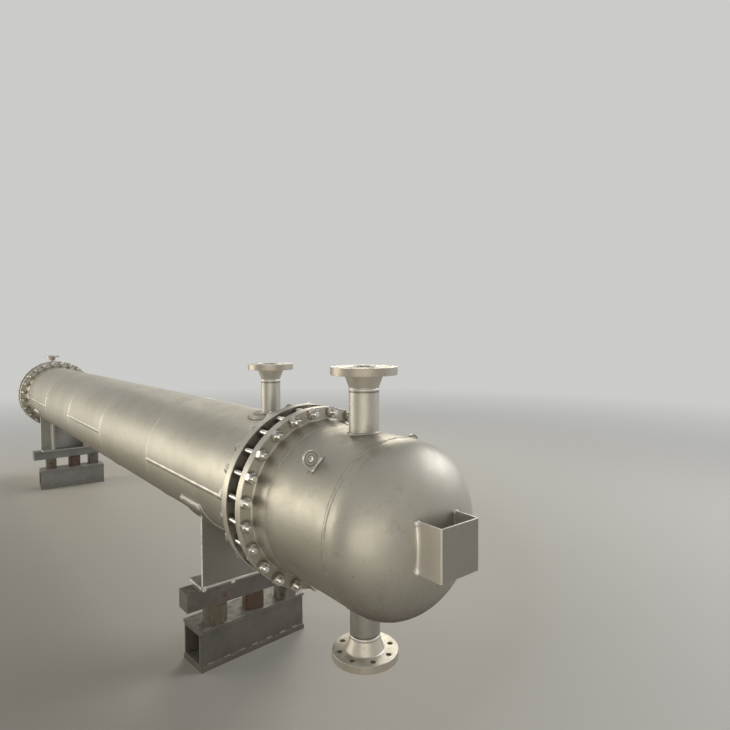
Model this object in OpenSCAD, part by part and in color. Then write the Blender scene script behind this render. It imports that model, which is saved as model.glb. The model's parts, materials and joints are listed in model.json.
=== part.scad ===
/* [Channel] */
// Step from the shell's outside up to the channel barrel and both end covers
channel_step = 8.5; // [0:0.5:12]
// Wall of the channel barrel and of both end covers
channel_wall = 20; // [10:1:30]
// Distance from the channel flange's front face to the head seam
channel_len = 459; // [400:1:700]
// Straight skirt between the head seam and the start of the curve
head_skirt = 28; // [10:1:60]
// Outside depth of the curved part of a head
head_depth = 188; // [140:1:240]
// Distance from the channel flange's front face to the nozzle axis
channel_nozzle_x = 283; // [240:1:330]
// Thickness of the plate that parts the two tube passes
partition_t = 14; // [8:1:20]

/* [Body flanges] */
// Thickness of each body flange
flange_t = 40; // [30:1:60]
// Extra radius of a channel hub where it leaves the ring
hub_rise = 9; // [4:1:12]
// Distance from the root of a hub out to the bolt circle
bolt_gap = 35; // [28:1:60]
// Distance from the bolt circle out to the rim of a flange
bolt_edge = 19; // [17:1:40]
// Number of studs round each joint
bolt_count = 24; // [16:4:28]
// Hole for one stud
bolt_hole_d = 26; // [22:1:28]
// Length of the tapered hub on the channel side
channel_hub_len = 84; // [50:1:110]
// Length of the tapered hub on the shell side
shell_hub_len = 50; // [30:1:90]
// Radius at the root of each hub
hub_fillet = 8; // [3:1:12]
// Bevel on the outer corners of the flanges
flange_bevel = 2; // [1:0.5:4]

/* [Tubesheets and tubes] */
// Thickness of a tubesheet
tubesheet_t = 71; // [40:1:90]
// Gap between a tubesheet's rim and the stud holes
tubesheet_gap = 4; // [2:0.5:10]
// Thickness of a gasket
gasket_t = 3; // [1.5:0.5:5]
// Distance from a tubesheet's rim in to the gasket's edge
gasket_edge = 18; // [4:1:24]
// Outside diameter of one tube
tube_od = 25.4; // [19:0.1:30]
// Distance from the shell's bore in to the centres of the outer tubes
tube_edge = 33; // [20:1:50]
// Number of tubes in the outer row
tube_count = 50; // [24:2:56]

/* [Shell] */
// Outside diameter of the shell
shell_od = 610; // [560:1:630]
// Wall of the shell
shell_wall = 10; // [6:1:16]
// Distance between the gasket faces of the two shell flanges
shell_len = 5338; // [4800:1:6400]
// Distance from the front gasket face to the first girth seam
front_course = 1175; // [900:1:1300]
// Length of each of the three middle courses
mid_course = 1010; // [800:1:1150]
// Axis height above the floor
axis_h = 957; // [900:1:1100]

/* [Nozzles] */
// Height of the channel's top nozzle face above the axis
inlet_h = 560; // [480:1:640]
// Depth of the channel's bottom nozzle face below the axis
outlet_h = 548; // [480:1:640]
// Height of both shell nozzle faces from the axis
shell_nozzle_h = 544; // [480:1:640]
// Distance from the front gasket face to the shell's top nozzle
shell_inlet_x = 303; // [260:1:400]
// Distance from the rear gasket face to the shell's bottom nozzle
shell_outlet_x = 275; // [260:1:400]
// Outside diameter of the reinforcing pads
pad_od = 190; // [150:1:240]
// Thickness of the reinforcing pads
pad_t = 9; // [5:1:12]

/* [Rear bonnet] */
// Distance from the rear flange's outer face to the head seam
bonnet_len = 205; // [180:1:400]
// Distance from the rear flange's outer face to the vent
vent_x = 130; // [110:1:140]
// Height of the vent face above the bonnet's barrel
vent_out = 126.5; // [90:0.5:200]

/* [Bracket and lugs] */
// Width of the identification bracket
bracket_w = 175; // [100:1:220]
// Height of the identification bracket
bracket_h = 170; // [100:1:220]
// Distance from the head's crown to the bracket's face
bracket_out = 93; // [60:1:140]
// Thickness of the bracket's plate
bracket_t = 5; // [3:0.5:10]
// Inner radius of the bracket's two bends
bracket_bend = 3; // [1:0.5:10]
// Place of the bracket's middle to the side of the axis
bracket_y = -5.5; // [-30:0.5:30]
// Place of the bracket's middle above the axis
bracket_z = 5; // [-30:1:30]
// Angle of a lug from the top of the barrel
lug_angle = 45; // [30:1:60]
// Distance from the channel flange's front face to the lugs
lug_x = 287; // [220:1:320]
// Width of a lug at its foot
lug_w = 60; // [40:1:80]
// Height of a lug above the barrel
lug_h = 64; // [50:1:90]
// Thickness of a lug
lug_t = 10; // [6:1:16]
// Hole in a lug
lug_hole_d = 18; // [12:1:24]

/* [Saddles] */
// Distance from the front gasket face to the outer face of the front saddle
front_saddle_x = 544; // [500:1:900]
// Gap between the outlet's pad and the rear wear plate
rear_saddle_gap = 27; // [10:1:400]
// Width of a saddle across the shell
saddle_w = 496; // [400:1:560]
// Depth of a saddle along the shell
saddle_depth = 157; // [120:1:200]
// Thickness of the saddle plates
saddle_plate_t = 16; // [10:1:20]
// Height of the saddle's foot below the axis
saddle_foot_h = 549; // [480:1:600]
// Distance of each outer rib from the middle
rib_y = 146; // [120:1:210]
// Thickness of the wear plate under the shell
wear_t = 10; // [6:1:14]
// Length of the wear plate along the shell
wear_len = 222; // [170:1:280]
// Length of the wear plate that shows beyond the saddle's outer face
wear_out = 63; // [10:1:70]
// Angle that the wear plate spans
wear_angle = 129; // [90:1:150]
// Thickness of the base plate
base_t = 12; // [8:1:30]
// Distance that the base plate sticks out on each side of a saddle
base_out = 4; // [0:1:20]

/* [Supports] */
// Length of the spreader bar under a saddle
spreader_len = 656; // [610:1:800]
// Width of the spreader bar
spreader_w = 100; // [80:1:140]
// Height of the spreader bar
spreader_h = 90; // [70:1:120]
// Width of a packing block, an upright piece of square tube
block_size = 100; // [70:1:110]
// Wall of a packing block
block_wall = 8; // [5:1:12]
// Outer radius of a packing block's corners
block_corner_r = 22; // [14:1:30]
// Length of the floor beam
floor_beam_len = 615; // [560:1:800]
// Sideways offset of the floor beam
floor_beam_shift = 32; // [0:1:60]
// Distance from the saddle's outer face to the floor beam's middle
floor_beam_x = 100; // [60:1:120]
// Angle by which the floor beam is turned on the floor
floor_beam_turn = 4; // [0:1:6]
// Height of the floor beam over its top and bottom plates
floor_beam_h = 201; // [160:1:220]
// Width of the floor beam's box
floor_box_w = 165; // [120:1:180]
// Thickness of the box's upright walls
floor_web_t = 8; // [6:1:14]
// Thickness of the box's level walls
floor_wall_t = 10; // [6:1:14]
// Width of the plates above and below the box
floor_plate_w = 190; // [180:1:240]
// Thickness of the plate above the box
floor_top_t = 13; // [8:1:20]
// Thickness of the plate below the box
floor_bottom_t = 25; // [10:1:30]

/* [Hidden] */
$fn = 96;
// Clearance left where curved pieces seat on one another
seat = 0.3;
// Extra length given to every cutting tool
over = 1;
// Number of straight steps in a quarter of a head's outline
head_steps = 18;
// Number of straight steps in a bend or a rounded corner
bend_steps = 6;
// Bevel on the rims of the pipe flanges
rim_bevel = 1;
// Rounding between a pipe flange's back and its hub
hub_root = 3;
// Straight end of a pipe flange's hub, next to its weld
weld_land = 8;

// Places along the exchanger, measured from the channel flange's front face
joint_gap = tubesheet_t + 2 * gasket_t;
shell_front = -flange_t - joint_gap;
shell_rear = shell_front - shell_len;
bonnet_face = shell_rear - joint_gap;
bonnet_back = bonnet_face - flange_t;
crown_front = channel_len + head_skirt + head_depth;
crown_rear = bonnet_back - bonnet_len - head_skirt - head_depth;
bracket_face = crown_front + bracket_out;
mid_x = (bracket_face + crown_rear) / 2;

shell_r = shell_od / 2;
shell_bore_r = shell_r - shell_wall;
channel_r = shell_r + channel_step;
channel_bore_r = channel_r - channel_wall;
hub_root_r = channel_r + hub_rise;
bolt_circle = 2 * (hub_root_r + bolt_gap);
flange_od = bolt_circle + 2 * bolt_edge;
tubesheet_od = bolt_circle - bolt_hole_d - 2 * tubesheet_gap;
gasket_od = tubesheet_od - 2 * gasket_edge;
tube_row_r = shell_bore_r - tube_edge;
vent_h = channel_r + vent_out;
wear_r = shell_r + seat + wear_t;
rear_saddle_x = shell_outlet_x + pad_od / 2 + rear_saddle_gap + wear_out;

// Nozzle sizes: pipe, bore, flange, thickness, face, face height, hub, neck height, bolt circle, holes, hole
pipe_4 = [114.3, 97.2, 254, 30.2, 157.2, 1.6, 146, 86, 200, 8, 22.2];
pipe_3 = [88.9, 73.7, 210, 27, 127, 1.6, 117.5, 79.4, 168.3, 8, 22.2];
pipe_2 = [60.3, 49.3, 152.4, 17.5, 92.1, 1.6, 77.8, 63.5, 120.7, 4, 19];

// Packing blocks of a support: place across, distance behind the saddle's outer face, turn
block_places = [[-164, 57, -5], [60, 79, 14], [252, 74, 0]];

paint = "silver";
grey = "slategray";

// Puts the exchanger's own axis in the part's frame
module place() {
  translate([-mid_x, 0, axis_h]) children();
}

// Turns a shape drawn round Z so that it lies round the exchanger's axis from x onward
module along(x) {
  translate([x, 0, 0]) rotate([0, 90, 0]) children();
}

module pipe_along(x0, x1, r_out, r_in) {
  along(x0) difference() {
    cylinder(h = x1 - x0, r = r_out);
    translate([0, 0, -over]) cylinder(h = x1 - x0 + 2 * over, r = r_in);
  }
}

module bolt_holes(circle_d, count, hole_d, depth) {
  for (i = [0:count - 1])
    rotate([0, 0, (i + 0.5) * 360 / count])
      translate([circle_d / 2, 0, -over]) cylinder(h = depth + 2 * over, d = hole_d, $fn = 32);
}

// Body flange with its tapered hub: the gasket face lies at 0 and the hub points along +Z
module body_flange(hub_len, end_r, bore_r) {
  fillet = [for (a = [0:22.5:90]) [hub_root_r + hub_fillet * (1 - sin(a)), flange_t + hub_fillet * (1 - cos(a))]];
  difference() {
    rotate_extrude() polygon(concat(
      [[bore_r, 0], [flange_od / 2 - flange_bevel, 0], [flange_od / 2, flange_bevel]],
      [[flange_od / 2, flange_t - flange_bevel], [flange_od / 2 - flange_bevel, flange_t]],
      fillet,
      [[end_r, flange_t + hub_len], [bore_r, flange_t + hub_len]]
    ));
    bolt_holes(bolt_circle, bolt_count, bolt_hole_d, flange_t);
  }
}

function arc_points(r, depth, base) =
  [for (i = [0:head_steps]) [r * cos(90 * i / head_steps), base + depth * sin(90 * i / head_steps)]];

function turned(points) = [for (i = [len(points) - 1:-1:0]) points[i]];

// Dished head: the seam lies at 0 and the crown points along +Z
module dished_head() {
  rotate_extrude() polygon(concat(
    [[channel_bore_r, 0], [channel_r, 0]],
    arc_points(channel_r, head_depth, head_skirt),
    turned(arc_points(channel_bore_r, head_depth - channel_wall, head_skirt))
  ));
}

// Weld-neck flange: the bolting face points along +Z and its top lies at 0
module neck_flange(s) {
  back = s[3] + s[5];
  difference() {
    rotate_extrude() polygon([
      [s[1] / 2, 0], [s[4] / 2, 0], [s[4] / 2, -s[5]],
      [s[2] / 2 - rim_bevel, -s[5]], [s[2] / 2, -s[5] - rim_bevel],
      [s[2] / 2, rim_bevel - back], [s[2] / 2 - rim_bevel, -back],
      [s[6] / 2 + hub_root, -back], [s[6] / 2, -back - hub_root],
      [s[0] / 2, weld_land - s[7]], [s[0] / 2, -s[7]], [s[1] / 2, -s[7]]
    ]);
    translate([0, 0, -back]) bolt_holes(s[8], s[9], s[10], back);
  }
}

// Pipe from the run's outer surface to the flange, its foot cut to the curve it stands on
module neck_pipe(s, face_h, run_r) {
  difference() {
    cylinder(h = face_h - s[7], d = s[0]);
    translate([0, 0, -over]) cylinder(h = face_h, d = s[1]);
    rotate([0, 90, 0]) cylinder(h = 2 * s[0], r = run_r + seat, center = true, $fn = 180);
  }
}

// Tool that opens the run below a nozzle
module run_opening(s, face_h) {
  cylinder(h = face_h, d = s[1]);
}

// Curved plate round the foot of a shell nozzle
module pad_plate(s) {
  difference() {
    intersection() {
      cylinder(h = shell_od, d = pad_od);
      rotate([0, 90, 0]) cylinder(h = 2 * pad_od, r = shell_r + seat + pad_t, center = true, $fn = 180);
    }
    rotate([0, 90, 0]) cylinder(h = 3 * pad_od, r = shell_r + seat, center = true, $fn = 180);
    cylinder(h = shell_od, d = s[0] + 2 * seat);
  }
}

module channel_head() {
  color(paint) place() along(channel_len) dished_head();
}

module channel_barrel() {
  color(paint) place() difference() {
    pipe_along(channel_hub_len, channel_len, channel_r, channel_bore_r);
    translate([channel_nozzle_x, 0, 0]) run_opening(pipe_4, inlet_h);
    translate([channel_nozzle_x, 0, 0]) mirror([0, 0, 1]) run_opening(pipe_4, outlet_h);
  }
}

module channel_flange() {
  color(paint) place() along(-flange_t) body_flange(channel_hub_len, channel_r, channel_bore_r);
}

module pass_partition() {
  inner = channel_bore_r - seat;
  inner_depth = head_depth - channel_wall - seat;
  start = seat - flange_t - gasket_t;
  color(paint) place() intersection() {
    along(start) rotate_extrude() polygon(concat(
      [[0, 0], [inner, 0]],
      arc_points(inner, inner_depth, channel_len + head_skirt - start)
    ));
    translate([start, -channel_r, -partition_t / 2]) cube([crown_front - start, 2 * channel_r, partition_t]);
  }
}

// Quarter turn round the middle x, y, from the angle first onward
function bend_points(x, y, r, first) =
  [for (i = [0:bend_steps]) let (a = first + 90 * i / bend_steps) [x + r * cos(a), y + r * sin(a)]];

// Outline of a plate bent to a U that is open towards -X, its face at depth
function bent_outline(depth, w, t, bend) =
  let (mid = depth - bend - t, side = w / 2 - bend - t)
  concat(
    [[0, -w / 2]],
    bend_points(mid, -side, bend + t, -90),
    bend_points(mid, side, bend + t, 0),
    [[0, w / 2], [0, w / 2 - t]],
    turned(bend_points(mid, side, bend, 0)),
    turned(bend_points(mid, -side, bend, -90)),
    [[0, t - w / 2]]
  );

module name_bracket() {
  root = channel_len + head_skirt;
  color(paint) place() difference() {
    translate([root, bracket_y, bracket_z - bracket_h / 2])
      linear_extrude(bracket_h) polygon(bent_outline(bracket_face - root, bracket_w, bracket_t, bracket_bend));
    along(channel_len) rotate_extrude() polygon(concat(
      [[0, 0], [channel_r + seat, 0]],
      arc_points(channel_r + seat, head_depth + seat, head_skirt)
    ));
  }
}

module lug() {
  round_r = lug_w / 2;
  rotate([0, 90, 0]) translate([0, 0, -lug_t / 2]) difference() {
    union() {
      translate([-channel_r - lug_h + round_r, 0, 0]) cylinder(h = lug_t, r = round_r);
      translate([-channel_r - lug_h + round_r, -round_r, 0]) cube([lug_h, lug_w, lug_t]);
    }
    translate([-channel_r - lug_h + round_r, 0, -over]) cylinder(h = lug_t + 2 * over, d = lug_hole_d);
    translate([0, 0, -over]) cylinder(h = lug_t + 2 * over, r = channel_r + seat, $fn = 180);
  }
}

module channel_lugs() {
  color(paint) place() for (side = [-1, 1])
    translate([lug_x, 0, 0]) rotate([side * lug_angle, 0, 0]) lug();
}

module inlet_neck() {
  color(paint) place() translate([channel_nozzle_x, 0, 0]) neck_pipe(pipe_4, inlet_h, channel_r);
}

module inlet_flange() {
  color(paint) place() translate([channel_nozzle_x, 0, inlet_h]) neck_flange(pipe_4);
}

module outlet_neck() {
  color(paint) place() translate([channel_nozzle_x, 0, 0]) mirror([0, 0, 1])
    neck_pipe(pipe_4, outlet_h, channel_r);
}

module outlet_flange() {
  color(paint) place() translate([channel_nozzle_x, 0, -outlet_h]) mirror([0, 0, 1]) neck_flange(pipe_4);
}

// Gaskets on both faces of a tubesheet: the shell side lies at 0, the channel side further along +X
module gasket_pair() {
  pipe_along(0, gasket_t, gasket_od / 2, shell_bore_r);
  pipe_along(joint_gap - gasket_t, joint_gap, gasket_od / 2, channel_bore_r);
}

module front_gaskets() {
  color("dimgray") place() translate([shell_front, 0, 0]) gasket_pair();
}

module front_tubesheet() {
  color("gray") place() along(-flange_t - gasket_t - tubesheet_t) cylinder(h = tubesheet_t, d = tubesheet_od);
}

module shell_flange_front() {
  color(paint) place() translate([shell_front, 0, 0]) mirror([1, 0, 0]) along(0)
    body_flange(shell_hub_len, shell_r, shell_bore_r);
}

course_a0 = shell_front - front_course;
course_b0 = course_a0 - mid_course;
course_c0 = course_b0 - mid_course;
course_d0 = course_c0 - mid_course;

module shell_course_a() {
  color(paint) place() difference() {
    pipe_along(course_a0, shell_front - flange_t - shell_hub_len, shell_r, shell_bore_r);
    translate([shell_front - shell_inlet_x, 0, 0]) run_opening(pipe_3, shell_nozzle_h);
  }
}

module shell_course_b() {
  color(paint) place() pipe_along(course_b0, course_a0, shell_r, shell_bore_r);
}

module shell_course_c() {
  color(paint) place() pipe_along(course_c0, course_b0, shell_r, shell_bore_r);
}

module shell_course_d() {
  color(paint) place() pipe_along(course_d0, course_c0, shell_r, shell_bore_r);
}

module shell_course_e() {
  color(paint) place() difference() {
    pipe_along(shell_rear + flange_t + shell_hub_len, course_d0, shell_r, shell_bore_r);
    translate([shell_rear + shell_outlet_x, 0, 0]) mirror([0, 0, 1]) run_opening(pipe_3, shell_nozzle_h);
  }
}

module tube_row() {
  color("darkgray") place() for (i = [0:tube_count - 1])
    rotate([(i + 0.5) * 360 / tube_count, 0, 0])
      translate([shell_rear - gasket_t, 0, tube_row_r])
        rotate([0, 90, 0]) cylinder(h = shell_len + 2 * gasket_t, d = tube_od, $fn = 24);
}

module shell_flange_rear() {
  color(paint) place() along(shell_rear) body_flange(shell_hub_len, shell_r, shell_bore_r);
}

module rear_gaskets() {
  color("dimgray") place() translate([shell_rear, 0, 0]) mirror([1, 0, 0]) gasket_pair();
}

module rear_tubesheet() {
  color("gray") place() along(bonnet_face + gasket_t) cylinder(h = tubesheet_t, d = tubesheet_od);
}

module bonnet_flange() {
  color(paint) place() translate([bonnet_face, 0, 0]) mirror([1, 0, 0]) along(0)
    body_flange(shell_hub_len, channel_r, channel_bore_r);
}

module bonnet_barrel() {
  color(paint) place() difference() {
    pipe_along(bonnet_back - bonnet_len, bonnet_back - shell_hub_len, channel_r, channel_bore_r);
    translate([bonnet_back - vent_x, 0, 0]) run_opening(pipe_2, vent_h);
  }
}

module bonnet_head() {
  color(paint) place() translate([bonnet_back - bonnet_len, 0, 0]) mirror([1, 0, 0]) along(0) dished_head();
}

module vent_neck() {
  color(paint) place() translate([bonnet_back - vent_x, 0, 0]) neck_pipe(pipe_2, vent_h, channel_r);
}

module vent_flange() {
  color(paint) place() translate([bonnet_back - vent_x, 0, vent_h]) neck_flange(pipe_2);
}

module shell_inlet_pad() {
  color(paint) place() translate([shell_front - shell_inlet_x, 0, 0]) pad_plate(pipe_3);
}

module shell_inlet_neck() {
  color(paint) place() translate([shell_front - shell_inlet_x, 0, 0]) neck_pipe(pipe_3, shell_nozzle_h, shell_r);
}

module shell_inlet_flange() {
  color(paint) place() translate([shell_front - shell_inlet_x, 0, shell_nozzle_h]) neck_flange(pipe_3);
}

module shell_outlet_pad() {
  color(paint) place() translate([shell_rear + shell_outlet_x, 0, 0]) mirror([0, 0, 1]) pad_plate(pipe_3);
}

module shell_outlet_neck() {
  color(paint) place() translate([shell_rear + shell_outlet_x, 0, 0]) mirror([0, 0, 1])
    neck_pipe(pipe_3, shell_nozzle_h, shell_r);
}

module shell_outlet_flange() {
  color(paint) place() translate([shell_rear + shell_outlet_x, 0, -shell_nozzle_h]) mirror([0, 0, 1])
    neck_flange(pipe_3);
}

// Puts a support in place: its outer face lies at 0 and it reaches inward along +X
module at_front() {
  place() translate([shell_front - front_saddle_x, 0, 0]) mirror([1, 0, 0]) children();
}

module at_rear() {
  place() translate([shell_rear + rear_saddle_x, 0, 0]) children();
}

module wear_plate() {
  translate([-wear_out, 0, 0]) rotate([0, 90, 0]) rotate([0, 0, -wear_angle / 2])
    rotate_extrude(angle = wear_angle, $fn = 180)
      translate([shell_r + seat, 0]) square([wear_t, wear_len]);
}

module saddle_plates() {
  difference() {
    union() {
      translate([0, -saddle_w / 2, -saddle_foot_h]) cube([saddle_plate_t, saddle_w, saddle_foot_h]);
      for (y = [-rib_y, rib_y])
        translate([saddle_plate_t, y - saddle_plate_t / 2, -saddle_foot_h])
          cube([saddle_depth - saddle_plate_t, saddle_plate_t, saddle_foot_h]);
    }
    along(-over) cylinder(h = saddle_depth + 2 * over, r = wear_r + seat, $fn = 180);
  }
}

module base_plate() {
  plate_w = saddle_w + 2 * base_out;
  translate([0, -plate_w / 2, -saddle_foot_h - base_t]) cube([saddle_depth, plate_w, base_t]);
}

spreader_top = -saddle_foot_h - base_t;
block_top = spreader_top - spreader_h;
beam_top = floor_beam_h - axis_h;

module spreader() {
  translate([0, -spreader_len / 2, block_top]) cube([spreader_w, spreader_len, spreader_h]);
}

// Outline of a square with rounded corners, centred on the origin
function rounded_square(size, r) =
  [for (turn = [0:90:270]) each bend_points(
    (size / 2 - r) * sqrt(2) * cos(turn + 45), (size / 2 - r) * sqrt(2) * sin(turn + 45), r, turn
  )];

// Upright piece of square tube, centred on the Z axis
module block(h) {
  difference() {
    linear_extrude(h) polygon(rounded_square(block_size, block_corner_r));
    translate([0, 0, -over]) linear_extrude(h + 2 * over)
      polygon(rounded_square(block_size - 2 * block_wall, block_corner_r - block_wall));
  }
}

module blocks() {
  for (b = block_places)
    translate([b[1], b[0], beam_top]) rotate([0, 0, b[2]]) block(block_top - beam_top);
}

// Box of four welded plates between a top and a bottom plate, open at both ends
module floor_beam() {
  box_h = floor_beam_h - floor_top_t - floor_bottom_t;
  translate([floor_beam_x, floor_beam_shift, -axis_h]) rotate([0, 0, -floor_beam_turn])
    translate([0, -floor_beam_len / 2, 0]) {
      translate([-floor_plate_w / 2, 0, 0]) cube([floor_plate_w, floor_beam_len, floor_bottom_t]);
      translate([-floor_plate_w / 2, 0, floor_bottom_t + box_h])
        cube([floor_plate_w, floor_beam_len, floor_top_t]);
      difference() {
        translate([-floor_box_w / 2, 0, floor_bottom_t]) cube([floor_box_w, floor_beam_len, box_h]);
        translate([floor_web_t - floor_box_w / 2, -over, floor_bottom_t + floor_wall_t])
          cube([floor_box_w - 2 * floor_web_t, floor_beam_len + 2 * over, box_h - 2 * floor_wall_t]);
      }
    }
}

module front_wear_plate() {
  color(paint) at_front() wear_plate();
}

module front_saddle() {
  color(paint) at_front() saddle_plates();
}

module front_base_plate() {
  color(paint) at_front() base_plate();
}

module front_spreader() {
  color(grey) at_front() spreader();
}

module front_blocks() {
  color(grey) at_front() blocks();
}

module front_floor_beam() {
  color(grey) at_front() floor_beam();
}

module rear_wear_plate() {
  color(paint) at_rear() wear_plate();
}

module rear_saddle() {
  color(paint) at_rear() saddle_plates();
}

module rear_base_plate() {
  color(paint) at_rear() base_plate();
}

module rear_spreader() {
  color(grey) at_rear() spreader();
}

module rear_blocks() {
  color(grey) at_rear() blocks();
}

module rear_floor_beam() {
  color(grey) at_rear() floor_beam();
}

channel_head();
channel_barrel();
channel_flange();
pass_partition();
name_bracket();
channel_lugs();
inlet_neck();
inlet_flange();
outlet_neck();
outlet_flange();
front_gaskets();
front_tubesheet();
shell_flange_front();
shell_course_a();
shell_course_b();
shell_course_c();
shell_course_d();
shell_course_e();
tube_row();
shell_flange_rear();
rear_gaskets();
rear_tubesheet();
bonnet_flange();
bonnet_barrel();
bonnet_head();
vent_neck();
vent_flange();
shell_inlet_pad();
shell_inlet_neck();
shell_inlet_flange();
shell_outlet_pad();
shell_outlet_neck();
shell_outlet_flange();
front_wear_plate();
front_saddle();
front_base_plate();
front_spreader();
front_blocks();
front_floor_beam();
rear_wear_plate();
rear_saddle();
rear_base_plate();
rear_spreader();
rear_blocks();
rear_floor_beam();
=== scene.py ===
import json
import math
import random

import bpy
from mathutils import Euler, Matrix, Vector


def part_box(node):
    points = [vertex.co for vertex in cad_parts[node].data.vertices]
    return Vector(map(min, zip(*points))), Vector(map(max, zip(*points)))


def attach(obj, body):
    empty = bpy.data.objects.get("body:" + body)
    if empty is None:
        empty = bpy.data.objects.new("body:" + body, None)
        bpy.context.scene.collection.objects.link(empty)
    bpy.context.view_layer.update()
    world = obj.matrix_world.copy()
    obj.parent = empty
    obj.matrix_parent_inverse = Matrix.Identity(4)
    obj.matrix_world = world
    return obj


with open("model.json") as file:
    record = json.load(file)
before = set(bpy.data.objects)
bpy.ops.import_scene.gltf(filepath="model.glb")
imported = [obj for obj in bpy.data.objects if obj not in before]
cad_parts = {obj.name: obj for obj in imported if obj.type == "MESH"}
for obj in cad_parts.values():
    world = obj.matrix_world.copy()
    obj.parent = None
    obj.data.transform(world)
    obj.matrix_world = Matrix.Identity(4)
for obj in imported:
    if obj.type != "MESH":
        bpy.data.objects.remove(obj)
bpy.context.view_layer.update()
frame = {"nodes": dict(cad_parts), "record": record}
nodes = frame["nodes"]
chance = random.Random(7)  # one seeded source, so every run is the same
print("frame loaded")


# Places read from the frame, in metres

def middle(node):
    low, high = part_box(node)
    return (low + high) / 2


def halfHeight(node):
    low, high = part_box(node)
    return (high.z - low.z) / 2


def ends(node):
    # where a piece starts and stops along the exchanger
    low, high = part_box(node)
    return low.x, high.x


def halfLength(node):
    low, high = ends(node)
    return (high - low) / 2


axisZ = middle("shell_course_b").z
shellRadius = halfHeight("shell_course_a")
channelRadius = halfHeight("channel_barrel")
shellSeams = [ends("shell_course_" + letter)[0] for letter in "abcde"] + [ends("shell_course_a")[1]]
channelSeams = [*ends("channel_barrel"), *ends("bonnet_barrel")]
frontGap = (ends("shell_flange_front")[1], ends("channel_flange")[0])  # between the two flanges of a joint
rearGap = (ends("bonnet_flange")[1], ends("shell_flange_rear")[0])


# Camera, floor, background and lamps

cameraSet = {
    "x": 4.53394, "y": -1.32166,
    "aboveAxis": 0.67973,
    "heading": 50.981,   # degrees from +Y towards -X
    "downTilt": 1.872,
    "roll": 0.265,
    "lens": 27.657,
    "sensor": 36,
    "shiftY": -0.01706,
    "clipEnd": 200,
}

studio = {
    "floorSize": 120,
    "floorColour": (0.60, 0.58, 0.54),
    "mottleColour": (0.45, 0.44, 0.42),
    "mottleShare": 0.06,
    "backColour": (0.60, 0.60, 0.585),
    "fadeStart": 3.0,    # the floor turns into the background between these distances
    "fadeEnd": 13.0,
    "fadePower": 0.6,
    "skyStrength": 0.28,
    "skyTop": (0.48, 0.47, 0.45),
    "skyLow": (0.90, 0.87, 0.80),
    "lamps": [
        # name, place, aim, width, height, power, colour
        ("leftWall", (-3.2, -4.9, 1.55), (1.7, 0, 0.9), 4.6, 2.7, 150, (1.0, 0.93, 0.77)),
        ("rightWindow", (4.4, 5.4, 4.0), (2.9, 0, 1.0), 3.9, 3.5, 155, (0.95, 0.96, 0.98)),
        ("farWindow", (-2.6, 4.6, 4.6), (1.0, 0, 1.0), 3.2, 2.2, 126, (1.0, 0.94, 0.80)),
        ("roofWindow", (-4.6, 1.6, 4.2), (1.0, 0, 1.2), 2.4, 1.0, 18, (1.0, 0.95, 0.80)),
        ("nearLamp", (6.3, -2.9, 0.75), (3.2, -0.2, 1.0), 4.6, 1.4, 52, (1.0, 0.93, 0.79)),
    ],
}


def makeCamera(look):
    bpy.ops.object.camera_add(location=(look["x"], look["y"], axisZ + look["aboveAxis"]))
    camera = bpy.context.object
    camera.name = "mainCamera"
    turn = Euler((math.radians(90 - look["downTilt"]), 0, math.radians(look["heading"]))).to_matrix()
    turn = turn @ Matrix.Rotation(math.radians(-look["roll"]), 3, "Z")
    camera.rotation_euler = turn.to_euler()
    camera.data.sensor_width = look["sensor"]
    camera.data.lens = look["lens"]
    camera.data.shift_y = look["shiftY"]
    camera.data.clip_end = look["clipEnd"]
    bpy.context.scene.camera = camera


def makeLamp(name, place, aim, width, height, power, colour):
    bpy.ops.object.light_add(type="AREA", location=place)
    lamp = bpy.context.object
    lamp.name = name
    lamp.rotation_euler = (Vector(aim) - Vector(place)).to_track_quat("-Z", "Y").to_euler()
    lamp.data.shape = "RECTANGLE"
    lamp.data.size = width
    lamp.data.size_y = height
    lamp.data.energy = power
    lamp.data.color = colour


# Small helpers for node trees

def addNode(tree, kind, **settings):
    node = tree.nodes.new(kind)
    for name, value in settings.items():
        setattr(node, name, value)
    return node


def feed(tree, socket, value):
    if isinstance(value, bpy.types.NodeSocket):
        tree.links.new(value, socket)
    elif isinstance(value, (tuple, list)) and len(value) == 3 and len(socket.default_value) == 4:
        socket.default_value = (*value, 1)
    else:
        socket.default_value = value


def startMaterial(name, metallic, roughness):
    material = bpy.data.materials.new(name)
    material.use_nodes = True
    tree = material.node_tree
    shader = tree.nodes["Principled BSDF"]
    shader.inputs["Metallic"].default_value = metallic
    shader.inputs["Roughness"].default_value = roughness
    place = addNode(tree, "ShaderNodeTexCoord").outputs["Object"]
    return material, tree, shader, place


def stretched(tree, place, scale):
    mapping = addNode(tree, "ShaderNodeMapping")
    feed(tree, mapping.inputs["Vector"], place)
    mapping.inputs["Scale"].default_value = scale
    return mapping.outputs["Vector"]


def noise(tree, place, scale, detail=4.0, roughness=0.55):
    node = addNode(tree, "ShaderNodeTexNoise")
    feed(tree, node.inputs["Vector"], place)
    node.inputs["Scale"].default_value = scale
    node.inputs["Detail"].default_value = detail
    node.inputs["Roughness"].default_value = roughness
    return node.outputs["Fac"]


def calc(tree, operation, a, b=0.0):
    node = addNode(tree, "ShaderNodeMath", operation=operation)
    feed(tree, node.inputs[0], a)
    feed(tree, node.inputs[1], b)
    return node.outputs[0]


def vectorCalc(tree, operation, a, b=(0, 0, 0)):
    node = addNode(tree, "ShaderNodeVectorMath", operation=operation)
    feed(tree, node.inputs[0], a)
    feed(tree, node.inputs[1], b)
    return node.outputs


def minus(tree, a, b):
    return calc(tree, "SUBTRACT", a, b)


def unsigned(tree, value):
    return calc(tree, "ABSOLUTE", value)


def larger(tree, a, b):
    return calc(tree, "MAXIMUM", a, b)


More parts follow.
